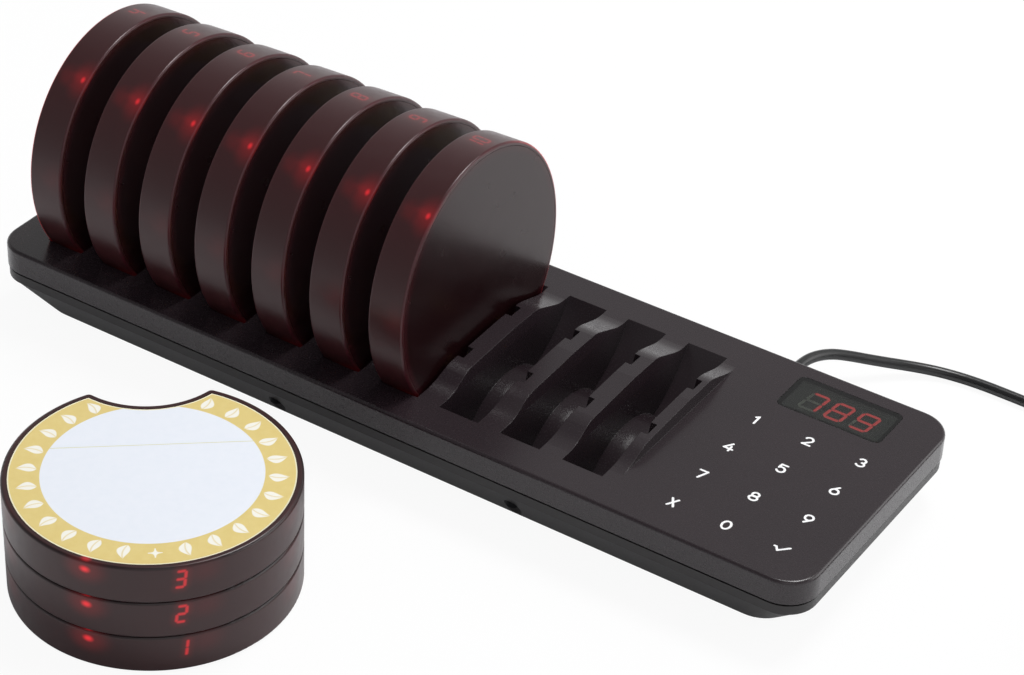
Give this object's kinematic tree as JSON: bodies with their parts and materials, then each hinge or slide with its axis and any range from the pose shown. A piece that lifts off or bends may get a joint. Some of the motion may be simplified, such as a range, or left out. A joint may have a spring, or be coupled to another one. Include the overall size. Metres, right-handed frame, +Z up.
{
  "type": "guest pager system",
  "caption": "Charging base with upright slots, a touch keypad and a display, and round coaster pagers with a half-round notch, docked in a row and stacked in front.",
  "frame": {"origin": "middle of the whole set's footprint (base and stack of pagers, without the lead) on the table plane", "axes": "+X along the base towards its keypad end, +Y from the stack towards the back of the base, +Z up"},
  "size_m": [0.45, 0.3096, 0.1031],
  "materials": {
    "charcoal_shell": "fine satin moulding, charcoal",
    "charcoal_hull": "satin moulding, a little darker than the top",
    "rubber_foot": "matte",
    "smoked_window": "smoked, grey-green",
    "display_block": "dark segments behind a smoked face",
    "circuit_board": "green board with black parts",
    "antenna_wire": "bare wire",
    "black_plastic": "moulded black",
    "contact_metal": "gold-flashed spring strip",
    "screw_steel": "zinc plated",
    "lead_black": "semi-gloss black sheath",
    "tie_black": "matte strap",
    "adapter_black": "black moulding with steel pins",
    "pager_smoke": "see-through dark maroon smoke, glossy",
    "pager_lid": "fine matte, dark grey-brown",
    "label_card": "printed card: cream ring round a pale centre",
    "pager_module": "dark board with a cell, motor and red lamps"
  },
  "bodies": {
    "base": {"top_shell": "charcoal_shell", "bottom_shell": "charcoal_hull", "rubber_feet": "rubber_foot", "display_window": "smoked_window", "display_module": "display_block", "touch_board": "circuit_board", "main_board": "circuit_board", "antenna": "antenna_wire", "buzzer": "black_plastic", "dc_jack": "black_plastic", "charge_board": "circuit_board", "charge_springs": "contact_metal", "case_screws": "screw_steel", "board_screws": "screw_steel", "dc_plug": "lead_black", "cord": "lead_black", "cord_coil": "lead_black", "coil_tie": "tie_black", "power_adapter": "adapter_black"},
    "pager_1": {"pager_1_case": "pager_smoke", "pager_1_lid": "pager_lid", "pager_1_label": "label_card", "pager_1_module": "pager_module"},
    "pager_2": {"pager_2_case": "pager_smoke", "pager_2_lid": "pager_lid", "pager_2_label": "label_card", "pager_2_module": "pager_module"},
    "pager_3": {"pager_3_case": "pager_smoke", "pager_3_lid": "pager_lid", "pager_3_label": "label_card", "pager_3_module": "pager_module"},
    "pager_4": {"pager_4_case": "pager_smoke", "pager_4_lid": "pager_lid", "pager_4_label": "label_card", "pager_4_module": "pager_module"},
    "pager_5": {"pager_5_case": "pager_smoke", "pager_5_lid": "pager_lid", "pager_5_label": "label_card", "pager_5_module": "pager_module"},
    "pager_6": {"pager_6_case": "pager_smoke", "pager_6_lid": "pager_lid", "pager_6_label": "label_card", "pager_6_module": "pager_module"},
    "pager_7": {"pager_7_case": "pager_smoke", "pager_7_lid": "pager_lid", "pager_7_label": "label_card", "pager_7_module": "pager_module"},
    "pager_8": {"pager_8_case": "pager_smoke", "pager_8_lid": "pager_lid", "pager_8_label": "label_card", "pager_8_module": "pager_module"},
    "pager_9": {"pager_9_case": "pager_smoke", "pager_9_lid": "pager_lid", "pager_9_label": "label_card", "pager_9_module": "pager_module"},
    "pager_10": {"pager_10_case": "pager_smoke", "pager_10_lid": "pager_lid", "pager_10_label": "label_card", "pager_10_module": "pager_module"}
  },
  "joints": [
    {"name": "pager_4_lift", "type": "slide", "parent": "base", "child": "pager_4", "axis": [-0.0349, 0, 0.9994], "range_m": [0, 0.06]},
    {"name": "pager_5_lift", "type": "slide", "parent": "base", "child": "pager_5", "axis": [-0.0349, 0, 0.9994], "range_m": [0, 0.06]},
    {"name": "pager_6_lift", "type": "slide", "parent": "base", "child": "pager_6", "axis": [-0.0349, 0, 0.9994], "range_m": [0, 0.06]},
    {"name": "pager_7_lift", "type": "slide", "parent": "base", "child": "pager_7", "axis": [-0.0349, 0, 0.9994], "range_m": [0, 0.06]},
    {"name": "pager_8_lift", "type": "slide", "parent": "base", "child": "pager_8", "axis": [-0.0349, 0, 0.9994], "range_m": [0, 0.06]},
    {"name": "pager_9_lift", "type": "slide", "parent": "base", "child": "pager_9", "axis": [-0.0349, 0, 0.9994], "range_m": [0, 0.06]},
    {"name": "pager_10_lift", "type": "slide", "parent": "base", "child": "pager_10", "axis": [-0.0349, 0, 0.9994], "range_m": [0, 0.06]},
    {"name": "pager_1_lift", "type": "slide", "parent": "base", "child": "pager_1", "axis": [0, 0, 1], "range_m": [0, 0.06]},
    {"name": "pager_2_lift", "type": "slide", "parent": "pager_1", "child": "pager_2", "axis": [0, 0, 1], "range_m": [0, 0.06]},
    {"name": "pager_3_lift", "type": "slide", "parent": "pager_2", "child": "pager_3", "axis": [0, 0, 1], "range_m": [0, 0.06]}
  ]
}
